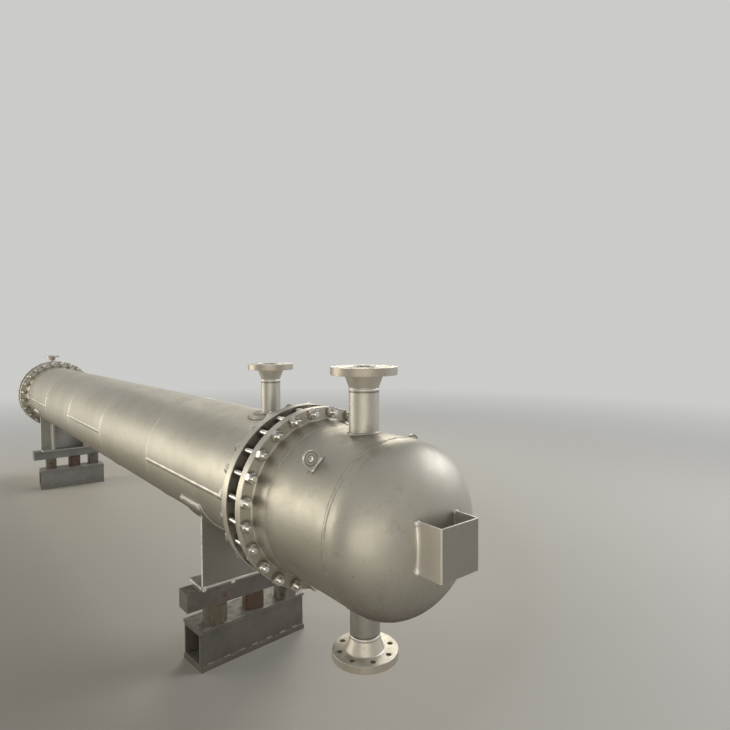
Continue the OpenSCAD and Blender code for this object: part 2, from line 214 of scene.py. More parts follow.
def times(tree, *factors):
    product = factors[0]
    for factor in factors[1:]:
        product = calc(tree, "MULTIPLY", product, factor)
    return product


def distance(tree, a, b):
    return calc(tree, "SQRT", calc(tree, "ADD", times(tree, a, a), times(tree, b, b)))


def ranged(tree, value, low, high, toLow=0.0, toHigh=1.0):
    node = addNode(tree, "ShaderNodeMapRange", clamp=True)
    feed(tree, node.inputs["Value"], value)
    for name, number in zip(("From Min", "From Max", "To Min", "To Max"), (low, high, toLow, toHigh)):
        node.inputs[name].default_value = number
    return node.outputs["Result"]


def blotches(tree, place, pattern):
    # a pattern is a noise (scale, detail, roughness) and the range that it is cut to
    grain, limits = pattern
    return ranged(tree, noise(tree, place, *grain), *limits)


def mixed(tree, factor, first, second):
    node = addNode(tree, "ShaderNodeMix", data_type="RGBA")
    feed(tree, node.inputs["Factor"], factor)
    feed(tree, node.inputs[6], first)   # the sockets 6 and 7 are the two colours
    feed(tree, node.inputs[7], second)
    return node.outputs[2]


def bumped(tree, height, strength, depth, below=None):
    node = addNode(tree, "ShaderNodeBump")
    feed(tree, node.inputs["Height"], height)
    node.inputs["Strength"].default_value = strength
    node.inputs["Distance"].default_value = depth
    if below is not None:
        feed(tree, node.inputs["Normal"], below)
    return node.outputs["Normal"]


def axes(tree, place):
    node = addNode(tree, "ShaderNodeSeparateXYZ")
    feed(tree, node.inputs[0], place)
    return node.outputs


def surface(tree):
    return addNode(tree, "ShaderNodeNewGeometry").outputs["Normal"]


def facing(tree):
    return axes(tree, surface(tree))


def facesAlong(tree, axis):
    # 1 on the faces that look along an axis: 0 is X, 1 is Y
    return ranged(tree, unsigned(tree, facing(tree)[axis]), 0.85, 0.95)


def upperHalf(tree, place):
    return ranged(tree, axes(tree, place)[2], axisZ, axisZ + 0.05)


def within(tree, value, centre, half, soft):
    # 1 inside a band round the centre, 0 outside it
    away = unsigned(tree, minus(tree, value, centre))
    return ranged(tree, away, half + soft, half)


def edges(tree, radius):
    # 1 on the corners of a piece, where worn paint and a painted highlight go
    bevel = addNode(tree, "ShaderNodeBevel", samples=4)
    bevel.inputs["Radius"].default_value = radius
    alike = vectorCalc(tree, "DOT_PRODUCT", bevel.outputs["Normal"], surface(tree))["Value"]
    return ranged(tree, alike, 0.985, 0.88)


def fromAxis(tree, place):
    x, y, z = axes(tree, place)
    rise = minus(tree, z, axisZ)
    return x, y, rise, distance(tree, y, rise)


def dishedNormal(tree, place, skirtEnd, depth, side):
    # the exact normal of a dished head, where the mesh itself has facets
    x, y, rise, reach = fromAxis(tree, place)
    along = larger(tree, times(tree, minus(tree, x, skirtEnd), side), 0.0)
    exact = addNode(tree, "ShaderNodeCombineXYZ")
    feed(tree, exact.inputs[0], times(tree, along, side / depth ** 2))
    feed(tree, exact.inputs[1], times(tree, y, channelRadius ** -2))
    feed(tree, exact.inputs[2], times(tree, rise, channelRadius ** -2))
    unit = vectorCalc(tree, "NORMALIZE", exact.outputs[0])["Vector"]
    facet = surface(tree)
    alike = vectorCalc(tree, "DOT_PRODUCT", unit, facet)["Value"]
    node = addNode(tree, "ShaderNodeMix", data_type="VECTOR")
    feed(tree, node.inputs["Factor"], ranged(tree, alike, 0.93, 0.96))
    feed(tree, node.inputs[4], facet)   # the sockets 4 and 5 are the two vectors
    feed(tree, node.inputs[5], unit)
    return node.outputs[1]


# The aluminium paint of the whole exchanger

seamShadeAndDirt = {
    # lines of painted shade and dirt along the weld beads, in metres
    "beside": 0.0078, "half": 0.0014, "soft": 0.0025,           # at one side of a girth seam
    "below": 0.0125, "belowHalf": 0.0022, "belowSoft": 0.003,   # below a lengthwise seam, as its painted shadow
    "nearSide": (-0.27, -0.28),
}

paintLook = {
    "light": (0.53, 0.508, 0.440),
    "shade": (0.42, 0.399, 0.342),
    "dust": (0.33, 0.285, 0.22),
    # colour of dirt smears and spots, and of the painted shade beside the seams
    "dirtAndShade": (0.20, 0.18, 0.15),
    "flake": (0.78, 0.77, 0.74),
    # colour of the painted shade on the side that faces down
    "shadeAndSoot": (0.092, 0.068, 0.048),
    "metallic": 0.62,
    "roughness": (0.40, 0.52),
    "grain": 420,          # sprayed flakes, per metre
    "peel": 150,
    "sag": 2.2,            # slow waviness of the rolled plate
    "sagStrength": 0.25,
    "edge": 0,             # width of the corners brightened by wear and a painted highlight, in metres
    "edgeWearAndHighlight": (0.80, 0.79, 0.75),
    "under": 0.78,         # how much painted shade darkens the side that faces down
    "dull": 0.82,          # roughness there
    "seams": [],
    "longSeams": [],       # (start, end, height above the axis)
    "dish": None,          # (end of the skirt, depth, side) of a dished head
    "clouds": ((2.6, 6, 0.6), (0.32, 0.68)),
    "runs": ((1.0, 5), (0.50, 0.80, 0, 0.34)),
    "smears": ((7.5, 8, 0.72), (0.58, 0.74, 0, 0.40)),
    "spots": ((38, 3, 0.6), (0.68, 0.74, 0, 0.35)),
    "dusting": ((26, 7, 0.65), (0.40, 0.72, 0, 0.5)),
    "broken": ((17, 5, 0.7), (0.34, 0.56, 0.40, 1.0)),   # the lines of painted shade and dirt beside the seams
    "wear": ((60, 5), (0.30, 0.50, 0.35, 0.95)),
    "gloss": (9, 5, 0.6),
}


def seamLines(tree, place, seams, longSeams, look=seamShadeAndDirt):
    x, y, rise, reach = fromAxis(tree, place)
    lines = 0.0
    for seam in seams:
        lines = larger(tree, lines, within(tree, x, seam - look["beside"], look["half"], look["soft"]))
    for low, high, seamRise in longSeams:
        along = times(tree, ranged(tree, x, low, low + 0.002), ranged(tree, x, high, high - 0.002))
        below = within(tree, rise, seamRise - look["below"], look["belowHalf"], look["belowSoft"])
        lines = larger(tree, lines, times(tree, along, below, ranged(tree, y, *look["nearSide"])))
    return lines


def aluminiumPaint(name, **changes):
    look = {**paintLook, **changes}
    material, tree, shader, place = startMaterial(name, look["metallic"], 0.4)
    smooth = dishedNormal(tree, place, *look["dish"]) if look["dish"] else None
    upward = axes(tree, smooth)[2] if smooth else facing(tree)[2]
    up = ranged(tree, upward, 0.70, 1.0)
    down = ranged(tree, upward, -0.10, -0.75)
    colour = mixed(tree, blotches(tree, place, look["clouds"]), look["shade"], look["light"])
    # painted shade: the side that faces down is darkened
    colour = mixed(tree, times(tree, down, look["under"]), colour, look["shadeAndSoot"])
    runs = blotches(tree, stretched(tree, place, (14, 14, 1.6)), look["runs"])
    colour = mixed(tree, runs, colour, look["shade"])
    flakes = noise(tree, place, look["grain"], 2, 0.5)
    colour = mixed(tree, ranged(tree, flakes, 0.45, 0.80, 0, 0.40), colour, look["flake"])
    colour = mixed(tree, blotches(tree, place, look["smears"]), colour, look["dirtAndShade"])
    colour = mixed(tree, blotches(tree, place, look["spots"]), colour, look["dirtAndShade"])
    colour = mixed(tree, times(tree, up, blotches(tree, place, look["dusting"])), colour, look["dust"])
    # painted shade and dirt in thin dark lines beside the weld seams
    if look["seams"]:
        lines = seamLines(tree, place, look["seams"], look["longSeams"])
        colour = mixed(tree, times(tree, lines, blotches(tree, place, look["broken"])), colour, look["dirtAndShade"])
    if look["edge"]:
        # worn paint and a painted highlight along the corners
        wornAndLitEdge = times(tree, edges(tree, look["edge"]), blotches(tree, place, look["wear"]))
        colour = mixed(tree, wornAndLitEdge, colour, look["edgeWearAndHighlight"])
    feed(tree, shader.inputs["Base Color"], colour)
    rough = ranged(tree, noise(tree, place, *look["gloss"]), 0.3, 0.7, *look["roughness"])
    feed(tree, shader.inputs["Roughness"], larger(tree, rough, times(tree, down, look["dull"])))
    wave = bumped(tree, noise(tree, place, look["sag"], 2), look["sagStrength"], 0.010, smooth)
    peel = bumped(tree, noise(tree, place, look["peel"], 4), 0.10, 0.0012, wave)
    feed(tree, shader.inputs["Normal"], bumped(tree, flakes, 0.12, 0.0004, peel))
    return material, tree, shader, place, colour


# Body joints: flanges, studs and nuts

joint = {
    "count": 24,
    "circleRadius": 0.3575,
    "flangeThickness": 0.040,
    "studRadius": 0.0115,
    "nutFlats": 0.041,
    "nutHeight": 0.026,
    "nutChamfer": 0.0038,
    "studEnd": 0.018,      # what shows beyond the nut
    "endBevel": 0.0022,
    "slip": 0.005,         # how far the studs stand out of line
    "nutShadeRadius": 0.031,   # painted shade on the flange round each nut
}

flangeLook = {
    "light": (0.62, 0.595, 0.515), "shade": (0.50, 0.475, 0.405), "roughness": (0.36, 0.48),
    "edge": 0.003, "under": 0.15, "dull": 0,
    "nutShade": (0.13, 0.115, 0.095),
    "grime": (0.21, 0.178, 0.14),
    "griming": ((21, 5), (0.3, 0.6, 0.6, 1.0)),
    "grimeRise": (0.12, -0.30, 0.10, 0.62),   # it grows from this height down to that one
    "gapShade": (0.12, 0.105, 0.085),
    "hubShade": (0.27, 0.21, 0.165),
    "hubStreakColour": (0.80, 0.78, 0.72),
    "hubStreaks": ((1.0, 3), (0.52, 0.66)),
}


def jointPaint(name, hub=False, look=flangeLook):
    # painted shade round the foot of every nut and on the faces in the gaps; the hub behind the nuts gets a
    # painted shadow with a few bright streaks, rubbed paint and painted highlight
    material, tree, shader, place, colour = aluminiumPaint(name, **look)
    x, y, rise, reach = fromAxis(tree, place)
    pitch = 2 * math.pi / joint["count"]
    angle = calc(tree, "ADD", calc(tree, "ARCTAN2", y, rise), 2 * math.pi)
    turn = calc(tree, "FRACT", times(tree, angle, 1 / pitch))
    across = times(tree, minus(tree, turn, 0.5), pitch * joint["circleRadius"])
    away = distance(tree, across, minus(tree, reach, joint["circleRadius"]))
    flat = facesAlong(tree, 0)
    # painted shade in a ring round the foot of every nut
    ring = times(tree, ranged(tree, away, joint["nutShadeRadius"], joint["nutShadeRadius"] - 0.011), flat, 0.72)
    colour = mixed(tree, ring, colour, look["nutShade"])
    grime = times(tree, ranged(tree, rise, *look["grimeRise"]), flat, blotches(tree, place, look["griming"]))
    colour = mixed(tree, grime, colour, look["grime"])
    # painted shade on the flange faces inside the gaps between the flanges
    for low, high in (frontGap, rearGap):
        inGap = within(tree, x, (low + high) / 2, (high - low) / 2 + 0.0005, 0.0005)
        colour = mixed(tree, times(tree, inGap, flat, 0.45), colour, look["gapShade"])
    if hub:
        start, end = ends("channel_flange")
        start += joint["flangeThickness"]
        behind = ranged(tree, x, start + 0.001, start + 0.008)
        onHub = times(tree, behind, ranged(tree, x, end - 0.002, end - 0.012))
        # painted shadow on the hub behind the nuts
        colour = mixed(tree, times(tree, onHub, 0.18), colour, look["hubShade"])
        # bright streaks along the hub: rubbed paint and painted highlight
        hubStreaks = blotches(tree, stretched(tree, place, (1.0, 9, 9)), look["hubStreaks"])
        colour = mixed(tree, times(tree, onHub, hubStreaks, 0.5), colour, look["hubStreakColour"])
    feed(tree, shader.inputs["Base Color"], colour)
    return material


# Bracket and lifting lugs of the channel

bracketLook = {
    "light": (0.72, 0.68, 0.59), "shade": (0.64, 0.60, 0.52), "metallic": 0.45, "under": 0,
    "edge": 0.005, "edgeWearAndHighlight": (0.95, 0.94, 0.90),
    "front": (0.20, 0.185, 0.155),
}


def bracketPaint(name, look=bracketLook):
    # the front plate is darker, and the sawn top edges of the plates get a painted highlight
    material, tree, shader, place, colour = aluminiumPaint(name, **look)
    front = times(tree, ranged(tree, facing(tree)[0], 0.75, 0.95), 0.74)
    colour = mixed(tree, front, colour, look["front"])
    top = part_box("name_bracket")[1].z
    # painted highlight on the top edges of the plates
    litTopEdge = ranged(tree, axes(tree, place)[2], top - 0.0012, top - 0.0006)
    feed(tree, shader.inputs["Base Color"], mixed(tree, litTopEdge, colour, look["edgeWearAndHighlight"]))
    return material


lug = {
    "angle": 45, "width": 0.060, "thickness": 0.010,
    "eyeRadius": 0.3475,    # from the axis to the middle of the eye
    "brightRing": 0.0098, "shadeRing": 0.0132,
}

lugLook = {
    "light": (0.66, 0.64, 0.58), "shade": (0.58, 0.56, 0.50), "metallic": 0.4, "under": 0,
    "edge": 0.005, "edgeWearAndHighlight": (0.97, 0.96, 0.92),
    "ringShade": (0.13, 0.11, 0.085),
    "eyeShade": (0.16, 0.14, 0.11),
}


def fromLug(tree, y, rise, radius):
    # distance from the point at that radius in the middle of each lug
    angle = math.radians(lug["angle"])
    across = minus(tree, unsigned(tree, y), radius * math.sin(angle))
    return distance(tree, across, minus(tree, rise, radius * math.cos(angle)))


def lugPaint(name, look=lugLook):
    # painted highlights on the corners of the eye and a bright ring round its hole, rubbed paint and painted
    # highlight, with painted shade beside them
    material, tree, shader, place, colour = aluminiumPaint(name, **look)
    x, y, rise, reach = fromAxis(tree, place)
    away = fromLug(tree, y, rise, lug["eyeRadius"])
    # painted shade in a ring round the hole
    dirtAndShade = times(tree, within(tree, away, lug["shadeRing"], 0.0014, 0.0014), 0.75)
    colour = mixed(tree, dirtAndShade, colour, look["ringShade"])
    # bright ring round the hole: rubbed paint and painted highlight
    bright = within(tree, away, lug["brightRing"], 0.0012, 0.0010)
    colour = mixed(tree, bright, colour, look["edgeWearAndHighlight"])
    # painted shade in a band near the rim of the eye, on its flat faces
    band = times(tree, ranged(tree, away, 0.0215, 0.0235), ranged(tree, away, 0.0285, 0.0265))
    colour = mixed(tree, times(tree, facesAlong(tree, 0), band, 0.65), colour, look["eyeShade"])
    feed(tree, shader.inputs["Base Color"], colour)
    return material


# Painted shade with soot round the feet of nozzles and lugs

footLook = {
    "lugFootShade": (0.13, 0.11, 0.085),
    "lugFootShading": ((33, 5), (0.3, 0.5)),
    # colour of the painted shade and soot round the feet
    "shadeAndSoot": (0.12, 0.10, 0.08),
    "footShadeAndSmudge": ((19, 7, 0.65), (0.36, 0.56)),
    "padShadeAndSmudge": ((28, 6, 0.65), (0.34, 0.56, 0.25, 1.0)),
}


def padPaint(name, look=footLook, **changes):
    # painted shade and dirt lie along the pad of the top nozzle, inside and outside its weld
    material, tree, shader, place, colour = aluminiumPaint(name, **changes)
    x, y, z = axes(tree, place)
    reach = distance(tree, minus(tree, x, middle("shell_inlet_pad").x), y)
    edge = halfLength("shell_inlet_pad")
    outside = within(tree, reach, edge + 0.009, 0.003, 0.008)
    lines = larger(tree, outside, within(tree, reach, edge - 0.030, 0.014, 0.012))
    # painted shade with dirt along the pad, inside and outside its weld
    dirtAndShade = times(tree, lines, upperHalf(tree, place), blotches(tree, place, look["padShadeAndSmudge"]), 0.85)
    feed(tree, shader.inputs["Base Color"], mixed(tree, dirtAndShade, colour, look["shadeAndSoot"]))
    return material


def footPaint(name, look=footLook, **changes):
    # painted shade with soot in blotches where the inlet was welded to the channel, and painted shadow beside
    # the feet of the two lugs
    material, tree, shader, place, colour = aluminiumPaint(name, **changes)
    x, y, rise, reach = fromAxis(tree, place)
    beside = within(tree, unsigned(tree, minus(tree, x, middle("channel_lugs").x)), 0.013, 0.004, 0.006)
    nearLug = ranged(tree, fromLug(tree, y, rise, channelRadius), 0.044, 0.030)
    # painted shadow on the channel beside the feet of the two lugs
    lugFootShade = times(tree, beside, nearLug, blotches(tree, place, look["lugFootShading"]), 0.8)
    colour = mixed(tree, lugFootShade, colour, look["lugFootShade"])
    pipe = halfLength("inlet_neck")
    fromPipe = distance(tree, minus(tree, x, middle("inlet_neck").x), y)
    nearPipe = ranged(tree, fromPipe, pipe + 0.085, pipe + 0.018)
    # painted shade in blotches round the foot of the inlet, with soot
    dirtAndShade = times(tree, nearPipe, upperHalf(tree, place), blotches(tree, place, look["footShadeAndSmudge"]), 0.90)
    feed(tree, shader.inputs["Base Color"], mixed(tree, dirtAndShade, colour, look["shadeAndSoot"]))
    return material


# Nozzles

nozzles = {
    # what the foot stands on, the way the nozzle points, radius of the raised face, tone of the neck (painted
    # shade) and tone of the flange (painted light)
    "inlet": ("channel", 1, 0.0786, 0.82, 1.0),
    "outlet": ("channel", -1, 0.0786, 0.52, 1.22),
    "shell_inlet": ("pad", 1, 0.0635, 0.74, 1.0),
    "shell_outlet": ("pad", -1, 0.0635, 0.74, 1.0),
    "vent": ("channel", 1, 0.0460, 0.85, 1.0),
}

nozzleLook = {
    "light": (0.70, 0.675, 0.61), "shade": (0.62, 0.595, 0.53), "under": 0.1,
    "weldLine": (0.15, 0.125, 0.095),
    "fromWeld": 0.0085,
    "turned": (0.74, 0.72, 0.67),
    "rings": 7850,         # on the raised face, in radians per metre
    "rim": (0.33, 0.275, 0.21),
}


# lighter and darker copies of a paint, for painted light and shade
def toned(look, tone):
    return {**look, **{key: [tone * part for part in look[key]] for key in ("light", "shade")}}


def neckPaint(nozzle, up, tone, look=nozzleLook):
    # a dark line beside the weld between neck and flange
    material, tree, shader, place, colour = aluminiumPaint(nozzle + "NeckPaint", **toned(look, tone))
    low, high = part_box(nozzle + "_neck")
    weld = high.z - look["fromWeld"] if up > 0 else low.z + look["fromWeld"]
    line = times(tree, within(tree, axes(tree, place)[2], weld, 0.0016, 0.0024), 0.8)
    feed(tree, shader.inputs["Base Color"], mixed(tree, line, colour, look["weldLine"]))
    return material


def facePaint(nozzle, up, raised, tone, look=nozzleLook):
    # the raised face of a pipe flange is turned bright, with fine rings for the gasket; the rim is duller
    material, tree, shader, place, colour = aluminiumPaint(
        nozzle + "FacePaint", edge=0.003, dull=0, **toned(look, tone))
    low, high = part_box(nozzle + "_flange")
    x, y, z = axes(tree, place)
    reach = distance(tree, minus(tree, x, (low.x + high.x) / 2), y)
    atTop = within(tree, z, high.z if up > 0 else low.z, 0.0006, 0.0006)
    onFace = times(tree, atTop, ranged(tree, reach, raised + 0.001, raised))
    colour = mixed(tree, times(tree, onFace, 0.85), colour, look["turned"])
    rim = ranged(tree, unsigned(tree, facing(tree)[2]), 0.5, 0.2)
    feed(tree, shader.inputs["Base Color"], mixed(tree, times(tree, rim, 0.58), colour, look["rim"]))
    rings = times(tree, calc(tree, "SINE", times(tree, reach, look["rings"])), onFace)
    skin = shader.inputs["Normal"].links[0].from_socket
    feed(tree, shader.inputs["Normal"], bumped(tree, rings, 0.35, 0.0003, skin))
    return material


# Saddles, spreaders, packing blocks and floor beams

saddleLook = {
    "light": (0.30, 0.285, 0.255), "shade": (0.21, 0.20, 0.175), "flake": (0.50, 0.49, 0.46),
    "metallic": 0.3, "roughness": (0.45, 0.6), "edge": 0.003, "edgeWearAndHighlight": (0.60, 0.585, 0.54),
    # near-white painted highlight for the side edges of the web
    "cutEdgeHighlight": (0.95, 0.94, 0.90),
    "cutting": ((30, 5), (0.30, 0.50, 0.5, 1.0)),
}

supportLook = {
    "light": (0.20, 0.19, 0.168),
    "shade": (0.118, 0.110, 0.098),
    "scrape": (0.050, 0.042, 0.035),
    "rustDark": (0.060, 0.028, 0.016),
    "rustLight": (0.200, 0.095, 0.042),
    "rustShare": 0.40,
    "streaks": 0.28,
    "dust": (0.40, 0.40, 0.34),
    "splash": (0.15, 0.13, 0.105),
    # colour of the corners, worn and with a painted highlight
    "edge": (0.42, 0.41, 0.37),
    "metallic": 0.25,
    "clouds": ((6, 7, 0.65), (0.30, 0.70)),
    "dusting": ((24, 6), (0.28, 0.56)),
    "splashing": ((35, 6), (0.35, 0.6)),
    "wear": ((45, 6), (0.38, 0.56, 0.1, 0.9)),
}

blockLook = {"light": (0.23, 0.225, 0.20), "shade": (0.15, 0.145, 0.125), "rustShare": 0.46}

blockZones = [
    # place across, colour and rust of the three packing blocks
    (-0.164, (0.140, 0.110, 0.075), 0.35),
    (0.060, (0.105, 0.055, 0.036), 0.58),
    (0.252, (0.075, 0.066, 0.055), 0.25),
]


def saddlePaint(name, **changes):
    # the flame-cut side edges of the web get a painted highlight
    look = {**saddleLook, **changes}
    material, tree, shader, place, colour = aluminiumPaint(name, **look)
    outside = ranged(tree, unsigned(tree, axes(tree, place)[1]), 0.235, 0.240)
    cut = times(tree, facesAlong(tree, 1), outside, blotches(tree, place, look["cutting"]))
    feed(tree, shader.inputs["Base Color"], mixed(tree, cut, colour, look["cutEdgeHighlight"]))
    return material


def supportPaint(name, **changes):
    # thin grey coat on used packing steel, rust where it has gone
    look = {**supportLook, **changes}
    material, tree, shader, place = startMaterial(name, look["metallic"], 0.6)
    colour = mixed(tree, blotches(tree, place, look["clouds"]), look["shade"], look["light"])
    scrape = noise(tree, stretched(tree, place, (60, 7, 60)), 1.0, 6, 0.7)
    colour = mixed(tree, ranged(tree, scrape, 0.54, 0.78, 0, look["streaks"]), colour, look["scrape"])
    patch = noise(tree, place, 13, 9, 0.7)
    grain = noise(tree, place, 210, 5, 0.7)
    rustColour = mixed(tree, ranged(tree, grain, 0.30, 0.70), look["rustDark"], look["rustLight"])
    start = 1 - look["rustShare"]
    rusty = ranged(tree, patch, start, start + 0.10, 0, 0.9)
    colour = mixed(tree, rusty, colour, rustColour)
    up = ranged(tree, facing(tree)[2], 0.80, 1.0)
    dusty = times(tree, up, blotches(tree, place, look["dusting"]), 0.72)
    colour = mixed(tree, dusty, colour, look["dust"])
    low = ranged(tree, axes(tree, place)[2], 0.09, 0.0, 0, 0.55)
    splash = times(tree, low, blotches(tree, place, look["splashing"]))
    colour = mixed(tree, splash, colour, look["splash"])
    # worn paint and a painted highlight along the corners
    wornAndLitEdge = times(tree, edges(tree, 0.004), blotches(tree, place, look["wear"]))
    colour = mixed(tree, wornAndLitEdge, colour, look["edge"])
    feed(tree, shader.inputs["Base Color"], colour)
    feed(tree, shader.inputs["Roughness"], ranged(tree, rusty, 0, 1, 0.48, 0.85))
    skin = bumped(tree, patch, 0.15, 0.002)
    feed(tree, shader.inputs["Normal"], bumped(tree, grain, 0.30, 0.0008, skin))
    return material, tree, shader, place, colour


def blockPaint(name):
    material, tree, shader, place, colour = supportPaint(name, **blockLook)
    y = axes(tree, place)[1]
    clumps = noise(tree, stretched(tree, place, (20, 20, 9)), 1.0, 7, 0.7)
    for across, tone, share in blockZones:
        rusty = ranged(tree, clumps, 0.62 - share / 2, 0.72 - share / 2)
        onBlock = times(tree, within(tree, y, across, 0.065, 0.01), rusty, 0.85)
        colour = mixed(tree, onBlock, colour, tone)
    feed(tree, shader.inputs["Base Color"], colour)
    return material


# Bare metal and gaskets

metalLook = {
    "grime": (0.18, 0.16, 0.13),
    "threadScale": 52,     # a turn every 3 mm
    "latheMarks": 2600,    # in radians per metre
}


def brightSteel(name, colour=(0.66, 0.64, 0.60), threads=False, grime=0.5, roughness=(0.20, 0.42)):
    material, tree, shader, place = startMaterial(name, 0.95, 0.3)
    cloud = noise(tree, place, 55, 6, 0.65)
    tone = mixed(tree, ranged(tree, cloud, 0.35, 0.70, 0, grime), colour, metalLook["grime"])
    feed(tree, shader.inputs["Base Color"], tone)
    feed(tree, shader.inputs["Roughness"], ranged(tree, cloud, 0.3, 0.7, *roughness))
    height = bumped(tree, noise(tree, place, 300, 4), 0.2, 0.0006)
    if threads:
        rings = addNode(tree, "ShaderNodeTexWave", bands_direction="X", wave_profile="TRI")
        feed(tree, rings.inputs["Vector"], place)
        rings.inputs["Scale"].default_value = metalLook["threadScale"]
        height = bumped(tree, rings.outputs["Fac"], 0.45, 0.0008, height)
    feed(tree, shader.inputs["Normal"], height)
    return material


def turnedSteel(name, colour, roughness):
    # lathe marks run round the exchanger's axis
    material, tree, shader, place = startMaterial(name, 0.6, roughness)
    x, y, rise, reach = fromAxis(tree, place)
    marks = calc(tree, "SINE", times(tree, calc(tree, "ADD", reach, x), metalLook["latheMarks"]))
    cloud = blotches(tree, place, ((12, 6), (0.3, 0.7)))
    feed(tree, shader.inputs["Base Color"], mixed(tree, cloud, [0.6 * part for part in colour], colour))
    feed(tree, shader.inputs["Normal"], bumped(tree, marks, 0.15, 0.0004))
    return material


def gasketSheet(name):
    material, tree, shader, place = startMaterial(name, 0.1, 0.75)
    cloud = blotches(tree, place, ((90, 5), (0.3, 0.7)))
    feed(tree, shader.inputs["Base Color"], mixed(tree, cloud, (0.035, 0.034, 0.033), (0.085, 0.08, 0.075)))
    feed(tree, shader.inputs["Normal"], bumped(tree, noise(tree, place, 500, 3), 0.3, 0.0004))
    return material


# Finishes for every node, and those of the pieces made below

longSeams = {
    # height of each lengthwise seam above the axis, and its side: -1 is the near one
    "shell_course_a": (-0.013, -1), "shell_course_b": (0.150, 1), "shell_course_c": (0.006, -1),
    "shell_course_d": (0.150, 1), "shell_course_e": (-0.013, -1),
}
nearSeams = [(*ends(node), rise) for node, (rise, side) in longSeams.items() if side < 0]

finishes = {
    "body_paint": aluminiumPaint("bodyPaint", seams=shellSeams + channelSeams, longSeams=nearSeams)[0],
    "flange_paint": jointPaint("flangePaint"),
    "saddle_paint": saddlePaint("saddlePaint"),
    "support_paint": supportPaint("supportPaint")[0],
    "block_paint": blockPaint("blockPaint"),
    # the tubesheet's steel is made very dark as painted shade in the gap between the flanges
    "tubesheet_steel": turnedSteel("tubesheetSteelInShade", (0.12, 0.108, 0.09), 0.55),
    "tube_steel": brightSteel("tubeSteel"),
    "gasket": gasketSheet("gasketSheet"),
}
nutSteel = brightSteel("nutSteel", (0.74, 0.72, 0.67), grime=0.85, roughness=(0.14, 0.34))
studSteel = brightSteel("studSteel", (0.92, 0.91, 0.88), threads=True, grime=0.30, roughness=(0.16, 0.28))


def weldPaint(name, light, shade, **changes):
    return aluminiumPaint(name, light=light, shade=shade, **changes)[0]


beadPaint = weldPaint("beadPaint", (0.88, 0.87, 0.83), (0.74, 0.73, 0.69), peel=420, under=0.2)
# a lighter copy of the paint on the shell's girth seams: painted highlight
litShellSeamPaint = weldPaint("litShellSeamPaint", (0.70, 0.68, 0.62), (0.57, 0.55, 0.49), peel=420)
# near-white paint on the top welds of the wear plates: a painted highlight
litTopWeldPaint = weldPaint(
    "litTopWeldPaint", (1.0, 0.99, 0.95), (0.95, 0.94, 0.90), metallic=0.05, under=0, dull=0)
seamPaint = weldPaint("seamPaint", (0.56, 0.54, 0.475), (0.43, 0.41, 0.355), peel=420)
stitchPaint = weldPaint("stitchPaint", (0.29, 0.275, 0.245), (0.20, 0.19, 0.165), metallic=0.3)


def dress(material, *pieces):
    for node in pieces:
        nodes[node].material_slots[0].material = material


for part in frame["record"]["subparts"]:
    dress(finishes[part["material_slot"]], part["node"])
for nozzle, (run, up, raised, neckShade, flangeLighting) in nozzles.items():
    dress(facePaint(nozzle, up, raised, flangeLighting), nozzle + "_flange")
    dress(neckPaint(nozzle, up, neckShade), nozzle + "_neck")
dress(jointPaint("hubPaint", hub=True), "channel_flange")
dress(footPaint("barrelPaint", seams=channelSeams), "channel_barrel")
dress(bracketPaint("bracketPaint"), "name_bracket")
dress(lugPaint("lugPaint"), "channel_lugs")
dress(padPaint("padPaint"), "shell_inlet_pad")
dress(padPaint("courseAPaint", seams=shellSeams, longSeams=nearSeams), "shell_course_a")

spreaderTones = {"light": (0.21, 0.195, 0.18), "shade": (0.12, 0.10, 0.095), "streaks": 0.6}
baseDust = {"dust": (0.56, 0.56, 0.48), "dusting": ((26, 7, 0.65), (0.25, 0.50, 0.3, 0.9))}
rearSaddleTones = {"light": (0.46, 0.46, 0.44), "shade": (0.36, 0.36, 0.34)}
rearSupportTones = {"light": (0.30, 0.30, 0.29), "shade": (0.20, 0.20, 0.19), "rustShare": 0.28}
dress(supportPaint("spreaderPaint", **spreaderTones)[0], "front_spreader")
dress(saddlePaint("basePaint", **baseDust), "front_base_plate")
dress(saddlePaint("rearSaddlePaint", **rearSaddleTones), "rear_saddle", "rear_base_plate")
dress(supportPaint("rearSupportPaint", **rearSupportTones)[0], "rear_spreader", "rear_floor_beam")

headShape = {"skirt": 0.028, "depth": 0.188}
headLook = {"seams": channelSeams, "sag": 4.0, "sagStrength": 0.32, "under": 0.92}
channelDish = (ends("channel_head")[0] + headShape["skirt"], headShape["depth"], 1)
bonnetDish = (ends("bonnet_head")[1] - headShape["skirt"], headShape["depth"], -1)
dress(aluminiumPaint("channelHeadPaint", dish=channelDish, **headLook)[0], "channel_head")
dress(aluminiumPaint("bonnetHeadPaint", dish=bonnetDish, **headLook)[0], "bonnet_head")
print("finishes made")


# Modelling helpers

def deselectAll():
    bpy.ops.object.select_all(action="DESELECT")


def selectOnly(piece):
    deselectAll()
    piece.select_set(True)
    bpy.context.view_layer.objects.active = piece


def named(name, material):
    piece = bpy.context.object
    piece.name = name
    piece.data.name = name
    piece.data.materials.clear()
    piece.data.materials.append(material)
    return piece


def applyModifier(piece, kind, **settings):
    bpy.context.view_layer.objects.active = piece
    modifier = piece.modifiers.new(kind.lower(), kind)
    for name, value in settings.items():
        setattr(modifier, name, value)
    bpy.ops.object.modifier_apply(modifier=modifier.name)


def joined(pieces, name):
    deselectAll()
    for piece in pieces:
        piece.select_set(True)
    bpy.context.view_layer.objects.active = pieces[0]
    bpy.ops.object.join()
    piece = bpy.context.object
    piece.name = name
    piece.data.name = name
    bpy.ops.object.transform_apply(location=True, rotation=True, scale=True)
    return piece


def copied(source, matrix):
    piece = source.copy()
    piece.data = source.data.copy()
    piece.matrix_world = matrix
    bpy.context.scene.collection.objects.link(piece)
    return piece


